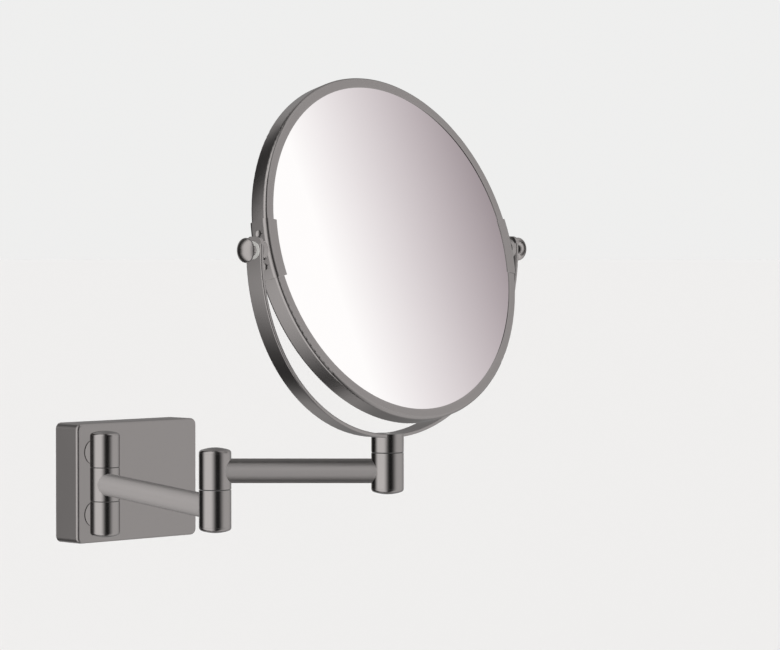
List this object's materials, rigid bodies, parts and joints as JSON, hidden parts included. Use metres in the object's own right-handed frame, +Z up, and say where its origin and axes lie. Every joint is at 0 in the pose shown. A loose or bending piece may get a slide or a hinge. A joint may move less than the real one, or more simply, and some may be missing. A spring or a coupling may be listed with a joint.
{
  "type": "extendable shaving mirror",
  "caption": "Round two-sided shaving mirror in a yoke, on a double swing arm from a rectangular wall cover, satin dark metal.",
  "frame": {"origin": "centre of the wall bracket's back face, on the wall", "axes": "+Z up, -Y out of the wall towards the user, +X to the right of a person facing the wall"},
  "size_m": [0.2308, 0.3182, 0.2821],
  "materials": {
    "satin_dark_metal": "satin",
    "zinc_plated_steel": "satin",
    "black_nylon": "matte",
    "black_rubber": "matte",
    "grey_foam": "matte",
    "mirror_glass": "polished"
  },
  "bodies": {
    "wall_unit": {"wall_bracket": "zinc_plated_steel", "wall_cover": "satin_dark_metal", "cover_set_screw": "zinc_plated_steel", "backing_bar": "zinc_plated_steel", "post_screws": "zinc_plated_steel", "upper_wall_knuckle": "satin_dark_metal", "lower_wall_knuckle": "satin_dark_metal", "wall_pin": "zinc_plated_steel", "wall_disc_spring": "zinc_plated_steel", "wall_lock_nut": "zinc_plated_steel", "wall_upper_cap": "satin_dark_metal", "wall_lower_cap": "satin_dark_metal"},
    "inner_arm": {"middle_wall_knuckle": "satin_dark_metal", "wall_bushes": "black_nylon", "inner_arm_tube": "satin_dark_metal", "elbow_lower_knuckle": "satin_dark_metal", "elbow_lower_cap": "satin_dark_metal", "elbow_pin": "zinc_plated_steel", "elbow_disc_spring": "zinc_plated_steel", "elbow_lock_nut": "zinc_plated_steel"},
    "outer_arm": {"elbow_upper_knuckle": "satin_dark_metal", "elbow_bush": "black_nylon", "elbow_upper_cap": "satin_dark_metal", "outer_arm_tube": "satin_dark_metal", "head_knuckle": "satin_dark_metal", "head_bush": "black_nylon", "head_lower_cap": "satin_dark_metal"},
    "yoke": {"yoke_stem": "satin_dark_metal", "yoke_band": "satin_dark_metal", "stem_screw": "zinc_plated_steel", "head_pin": "zinc_plated_steel", "head_disc_spring": "zinc_plated_steel", "head_lock_nut": "zinc_plated_steel"},
    "mirror_head": {"rim_upper_half": "satin_dark_metal", "rim_lower_half": "satin_dark_metal", "left_clip": "satin_dark_metal", "right_clip": "satin_dark_metal", "plain_glass": "mirror_glass", "magnifying_glass": "mirror_glass", "glass_spacer": "grey_foam", "front_seal": "black_rubber", "back_seal": "black_rubber", "left_thread_plate": "zinc_plated_steel", "right_thread_plate": "zinc_plated_steel", "left_spacer": "satin_dark_metal", "right_spacer": "satin_dark_metal", "left_wave_washer": "zinc_plated_steel", "right_wave_washer": "zinc_plated_steel", "left_knob": "satin_dark_metal", "right_knob": "satin_dark_metal"}
  },
  "joints": [
    {"name": "wall_swing", "type": "hinge", "parent": "wall_unit", "child": "inner_arm", "pos_m": [-0.0361, -0.03205, 0], "axis": [0, 0, 1], "range_deg": [-68.2, 111.8]},
    {"name": "elbow_swing", "type": "hinge", "parent": "inner_arm", "child": "outer_arm", "pos_m": [-0.11019, -0.21728, 0.0106], "axis": [0, 0, 1], "continuous": true},
    {"name": "head_swivel", "type": "hinge", "parent": "outer_arm", "child": "yoke", "pos_m": [-0.04089, -0.28658, 0.0318], "axis": [0, 0, 1], "continuous": true},
    {"name": "mirror_tilt", "type": "hinge", "parent": "yoke", "child": "mirror_head", "pos_m": [-0.04089, -0.28658, 0.14685], "axis": [0.9995, 0.0332, 0], "continuous": true}
  ]
}
